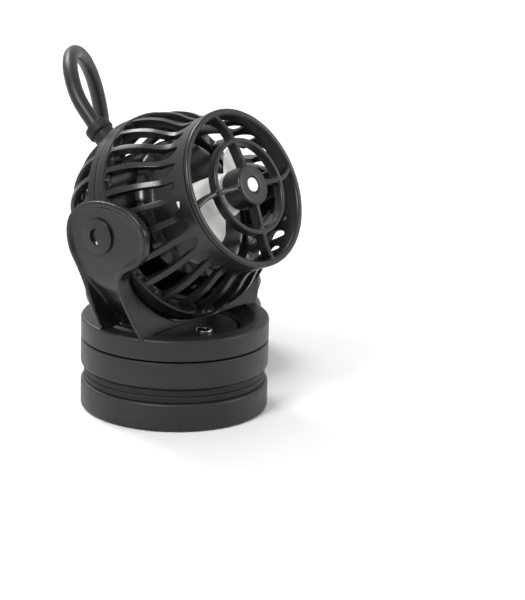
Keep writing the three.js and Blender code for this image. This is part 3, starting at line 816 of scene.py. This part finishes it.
def make_front_cage():
    rows = []
    for l in (SEAM + 0.15, SEAM + 1.5, FRONT_BAND_END - 0.9, FRONT_BAND_END - 0.25):
        rows.append((l, BALL_R + BAND_PROUD, BAND_INNER_R, (PITCH / 2, PITCH / 2)))
    for l in rounded_span(FRONT_BAND_END, SLOT_FRONT, SLOT_END_ROUND, SLOT_SWEEP, 14):
        r = cage_radius(l)
        inner = max(r - SLAT_DEPTH, COLLAR_BORE_R) if l > 22 else r - SLAT_DEPTH
        reach = reaches(l, r, FRONT_BAND_END, SLOT_FRONT, SLOT_END_ROUND, SLOT_SWEEP, SWEEP_SHARE)
        rows.append((l, r, min(inner, r - COLLAR_WALL), reach))
    end = rows[-1][3]
    for l in span(SLOT_FRONT, RIM_L, 5)[1:]:
        rows.append((l, cage_radius(l), COLLAR_BORE_R, end))
    cage = slotted_shell("front_cage_shell", rows, "ball")
    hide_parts("front_cage")


def make_rear_cage():
    rows = []
    for l in (SEAM - 0.15, SEAM - 1.5, REAR_BAND_END + 0.9, REAR_BAND_END + 0.25):
        rows.append((l, BALL_R + BAND_PROUD, BAND_INNER_R, (PITCH / 2, PITCH / 2)))
    for l in rounded_span(REAR_BAND_END, REAR_SLOT_END, SLOT_END_ROUND, REAR_SLOT_ROUND, 18):
        r = cage_radius(l)
        reach = reaches(l, r, REAR_BAND_END, REAR_SLOT_END, SLOT_END_ROUND, REAR_SLOT_ROUND, EVEN_SHARE)
        rows.append((l, r, r - SLAT_DEPTH, reach))
    for l in (-33.4, -34.6, -35.7, -36.5, -36.9):
        r = cage_radius(l)
        rows.append((l, r, max(r - SLAT_DEPTH, 0.6), (PITCH / 2, PITCH / 2)))
    cage = slotted_shell("rear_cage_shell", rows, "ball")
    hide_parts("rear_cage")
    centre = turned("rear_cage_centre", [(0, -35, 0), (3.2, -35, 0.2), (3.2, -36.95, 0.3), (0, -37.02, 0)],
                    MAT["cage_abs"], "ball", BALL, 96)
    for side, name in ((-1, "left"), (1, "right")):
        place = Matrix.Translation(BALL_CENTRE) @ Matrix.Rotation(side * math.pi / 2, 4, "Y")
        boss = turned(f"pivot_boss_{name}", [
            (0, 32, 0), (6.8, 32, 0.3), (6.8, 37.3, 0.5), (PIN_HOLE_R, 37.3, 0.2), (PIN_HOLE_R, PIN_END, 0),
            (0, PIN_END, 0),
        ], MAT["cage_abs"], "ball", place, 72)


make_front_cage()
make_rear_cage()


# ---- Nozzle grille ----

def spoke(bm, angle):
    """A flat bar set on edge from hub to rim. It bows a little to one side and then sweeps to the other, and
    its front falls away towards the rim."""
    radii = span(HUB_R - 1, RIM_INNER_R + 0.3, 14)
    loops = []
    for r in radii:
        share = max(r - HUB_R, 0) / (RIM_INNER_R - HUB_R)
        side = -0.3 - 4 * share ** 2 + 6.5 * share ** 3
        front = HUB_FRONT - 0.6 - 3.4 * (r / RIM_INNER_R) ** 2
        back = front - SPOKE_DEPTH
        half = SPOKE_WIDTH / 2
        corners = [(-half, front, 0.5), (half, front, 0.5), (half, back, 0.5), (-half, back, 0.5)]
        turn = BALL @ Matrix.Rotation(angle, 4, "Z")
        loops.append([bm.verts.new(turn @ Vector((r, side + a, b))) for a, b in rounded(corners, 3, True)])
    for low, high in zip(loops, loops[1:]):
        for k in range(len(low)):
            after = (k + 1) % len(low)
            bm.faces.new((low[k], low[after], high[after], high[k]))
    bm.faces.new(loops[0][::-1])
    bm.faces.new(loops[-1])


def make_grille():
    bm = bmesh.new()
    spigot_r = COLLAR_BORE_R - RUNNING_GAP
    bore = SHAFT_R + RUNNING_GAP
    revolve(bm, rounded([
        (RIM_INNER_R, RIM_L - 3, 0.2), (spigot_r, RIM_L - 3, 0.2), (spigot_r, RIM_L + 0.1, 0),
        (RIM_R, RIM_L + 0.1, 0.3), (RIM_R, RIM_FRONT, 1.1), (RIM_INNER_R, RIM_FRONT, 1.1),
    ], 5, True), BALL, 200, True)
    revolve(bm, rounded([
        (RING_INNER_R, RING_BACK, 0.4), (RING_OUTER_R, RING_BACK, 0.4), (RING_OUTER_R, RING_FRONT, 0.7),
        (RING_INNER_R, RING_FRONT, 0.7),
    ], 5, True), BALL, 160, True)
    revolve(bm, rounded([
        (bore, HUB_BACK, 0.2), (HUB_R - 1.6, HUB_BACK, 0.4), (HUB_R, HUB_BACK + 1.5, 0.6),
        (HUB_R, HUB_FRONT, 0.8), (bore, HUB_FRONT, 0.4),
    ], 5, True), BALL, 120, True)
    for k in range(SPOKES):
        spoke(bm, TURN * k / SPOKES)
    grille = object_from(bm, "grille_moulding", MAT["grille_abs"], None)
    moulded(grille, 0.28, 3)
    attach(grille, "ball")
    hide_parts("nozzle_grille")


make_grille()


# ---- Motor, propeller and shaft ----

def make_motor():
    bore = SHAFT_R + 2.4
    inner_r = MOTOR_R - MOTOR_WALL
    inner_front = MOTOR_FRONT - MOTOR_WALL
    can = turned("motor_can", [
        (bore, MOTOR_FRONT, 0.3), (bore, inner_front, 0), (MOTOR_R - MOTOR_FILLET, inner_front, 0),
        (inner_r, MOTOR_FRONT - MOTOR_FILLET, 0), (inner_r, MOTOR_TAPER, 0),
        (MOTOR_BACK_R - MOTOR_WALL, MOTOR_BACK, 0), (MOTOR_BACK_R, MOTOR_BACK, 0.5),
        (MOTOR_R, MOTOR_TAPER, 3), (MOTOR_R, MOTOR_FRONT, MOTOR_FILLET),
    ], MAT["gloss_black"], "ball", BALL, 200, True, 12)
    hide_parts("motor_housing")
    plug_r = MOTOR_BACK_R - MOTOR_WALL - RUNNING_GAP
    end = MOTOR_BACK - 3.9
    cap = turned("motor_back_cap", [
        (0, MOTOR_BACK + 2, 0), (plug_r, MOTOR_BACK + 2, 0.3), (plug_r, MOTOR_BACK, 0.2), (17, end + 2, 1),
        (13, end, 1.5), (4, end, 0.4), (3.6, end + 0.7, 0.3), (0, end + 0.7, 0),
    ], MAT["gloss_black"], "ball", BALL, 160)
    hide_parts("motor_end_cap")


def blade(bm, edge):
    """A slice of a helix that falls away from its leading edge, thick at the root and thin at its edges."""
    across, along = 30, 14
    sheets = []
    for layer in (1, -1):
        sheet = []
        for i in range(across + 1):
            share = i / across
            angle = edge - share * math.radians(BLADE_SPAN)
            tip = BLADE_TIP_R - 6 * abs(2 * share - 1) ** 6
            row = []
            for k in range(along + 1):
                t = k / along
                r = BLADE_ROOT_R + (tip - BLADE_ROOT_R) * t
                thick = 1.7 - 0.8 * t
                thick *= math.sqrt(max(1 - abs(2 * share - 1) ** 8, 0.05))
                thick *= math.sqrt(max(1 - t ** 12, 0.05))
                camber = 0.8 * (1 - (2 * share - 1) ** 2) * t
                z = BLADE_FRONT - 0.8 - BLADE_FALL * share + camber + layer * thick / 2
                row.append(bm.verts.new(BALL @ Vector((r * math.cos(angle), r * math.sin(angle), z))))
            sheet.append(row)
        sheets.append(sheet)
    front, back = sheets
    for i in range(across):
        for k in range(along):
            bm.faces.new((front[i][k], front[i + 1][k], front[i + 1][k + 1], front[i][k + 1]))
            bm.faces.new((back[i][k], back[i][k + 1], back[i + 1][k + 1], back[i + 1][k]))
    outline = [(i, along) for i in range(across + 1)]
    outline += [(across, k) for k in range(along - 1, -1, -1)]
    outline += [(i, 0) for i in range(across - 1, -1, -1)]
    outline += [(0, k) for k in range(1, along)]
    for (i0, k0), (i1, k1) in zip(outline, outline[1:] + outline[:1]):
        bm.faces.new((front[i0][k0], front[i1][k1], back[i1][k1], back[i0][k0]))


def make_propeller():
    bm = bmesh.new()
    bore = SHAFT_R + RUNNING_GAP
    revolve(bm, rounded([
        (bore, PROPELLER_BACK, 0.2), (PROPELLER_HUB_R, PROPELLER_BACK, 0.4),
        (PROPELLER_HUB_R, PROPELLER_FRONT - 4, 1), (PROPELLER_HUB_R - 1.4, PROPELLER_FRONT - 0.4, 1.2),
        (bore, PROPELLER_FRONT, 0.3),
    ], 5, True), BALL, 120, True)
    for k in range(BLADES):
        blade(bm, math.radians(BLADE_EDGE) + TURN * k / BLADES)
    piece = object_from(bm, "propeller_moulding", MAT["white_plastic"], "rotor", 50)
    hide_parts("propeller")


def make_shaft():
    back = MOTOR_BACK + 2.3
    front = HUB_FRONT - 0.2
    shaft = turned("shaft_rod", [
        (0, back, 0), (SHAFT_R, back, 0.2), (SHAFT_R, front, 0.4), (0, front, 0),
    ], MAT["ceramic"], "ball", BALL, 64)
    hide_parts("shaft")


make_motor()
make_propeller()
make_shaft()


# ---- Gland ----

def make_gland():
    aim = Vector(CORD_ROUTE[0]) - BALL_CENTRE
    place = Matrix.Translation(BALL_CENTRE) @ aim.to_track_quat("Z", "Y").to_matrix().to_4x4()
    gland = turned("gland_moulding", [
        (0, BALL_R - 2, 0), (5, BALL_R - 2, 0), (4.6, 38, 0.5), (4.1, 41.6, 0.6), (4.9, 42.4, 0.5),
        (4.9, 46, 0.7), (0, 46, 0),
    ], MAT["rubber"], "ball", place, 72)
    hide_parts("cable_gland")


make_gland()


# ---- Materials on the CAD nodes that stay ----

def dress_nodes():
    slots = {item["node"]: item["material_slot"] for item in frame["record"]["subparts"]}
    for name, node in frame["nodes"].items():
        node.data.materials.clear()
        node.data.materials.append(MAT[slots[name]])


dress_nodes()


# ---- Floor and light ----

def make_floor():
    bpy.ops.mesh.primitive_plane_add(size=6, location=(0, 0, -0.0002))
    floor = bpy.context.object
    floor.name = "floor"
    material, tree, shader = nodes_of("floor")
    shader.inputs["Base Color"].default_value = (0.75, 0.75, 0.75, 1)
    shader.inputs["Roughness"].default_value = 0.6
    floor.data.materials.append(material)


def area_light(name, place, aim, size, power):
    data = bpy.data.lights.new(name, "AREA")
    data.energy = power
    data.size = size
    light = bpy.data.objects.new(name, data)
    light.location = place
    light.rotation_euler = (Vector(aim) - Vector(place)).to_track_quat("-Z", "Y").to_euler()
    bpy.context.scene.collection.objects.link(light)


def studio_world():
    """A white surround, dimmer on the camera's side, which keeps the surfaces that face it from going grey.
    It is plain white as a background."""
    world = bpy.data.worlds.new("world")
    bpy.context.scene.world = world
    world.use_nodes = True
    tree = world.node_tree
    background = tree.nodes["Background"]
    background.inputs["Color"].default_value = (1, 1, 1, 1)
    coords = tree.nodes.new("ShaderNodeTexCoord")
    towards = tree.nodes.new("ShaderNodeVectorMath")
    towards.operation = "DOT_PRODUCT"
    towards.inputs[1].default_value = (-0.76, -0.63, -0.15)
    tree.links.new(coords.outputs["Generated"], towards.inputs[0])
    light = tree.nodes.new("ShaderNodeMapRange")
    light.inputs["From Min"].default_value = 0.1
    light.inputs["From Max"].default_value = 0.9
    light.inputs["To Min"].default_value = 0.85
    light.inputs["To Max"].default_value = 0.32
    tree.links.new(towards.outputs["Value"], light.inputs["Value"])
    rays = tree.nodes.new("ShaderNodeLightPath")
    brighter = tree.nodes.new("ShaderNodeMath")
    brighter.operation = "MAXIMUM"
    tree.links.new(light.outputs["Result"], brighter.inputs[0])
    tree.links.new(rays.outputs["Is Camera Ray"], brighter.inputs[1])
    tree.links.new(brighter.outputs["Value"], background.inputs["Strength"])


def make_light():
    bpy.context.scene.view_settings.view_transform = "Standard"
    studio_world()
    area_light("key", (-0.95, -0.1, 1.0), (0, 0, 0.06), 0.4, 15)
    area_light("fill", (0.7, -1.1, 0.6), (0, 0, 0.06), 0.4, 6)
    area_light("back", (0.3, 1.0, 1.1), (0, 0, 0.06), 0.6, 14)


make_floor()
make_light()
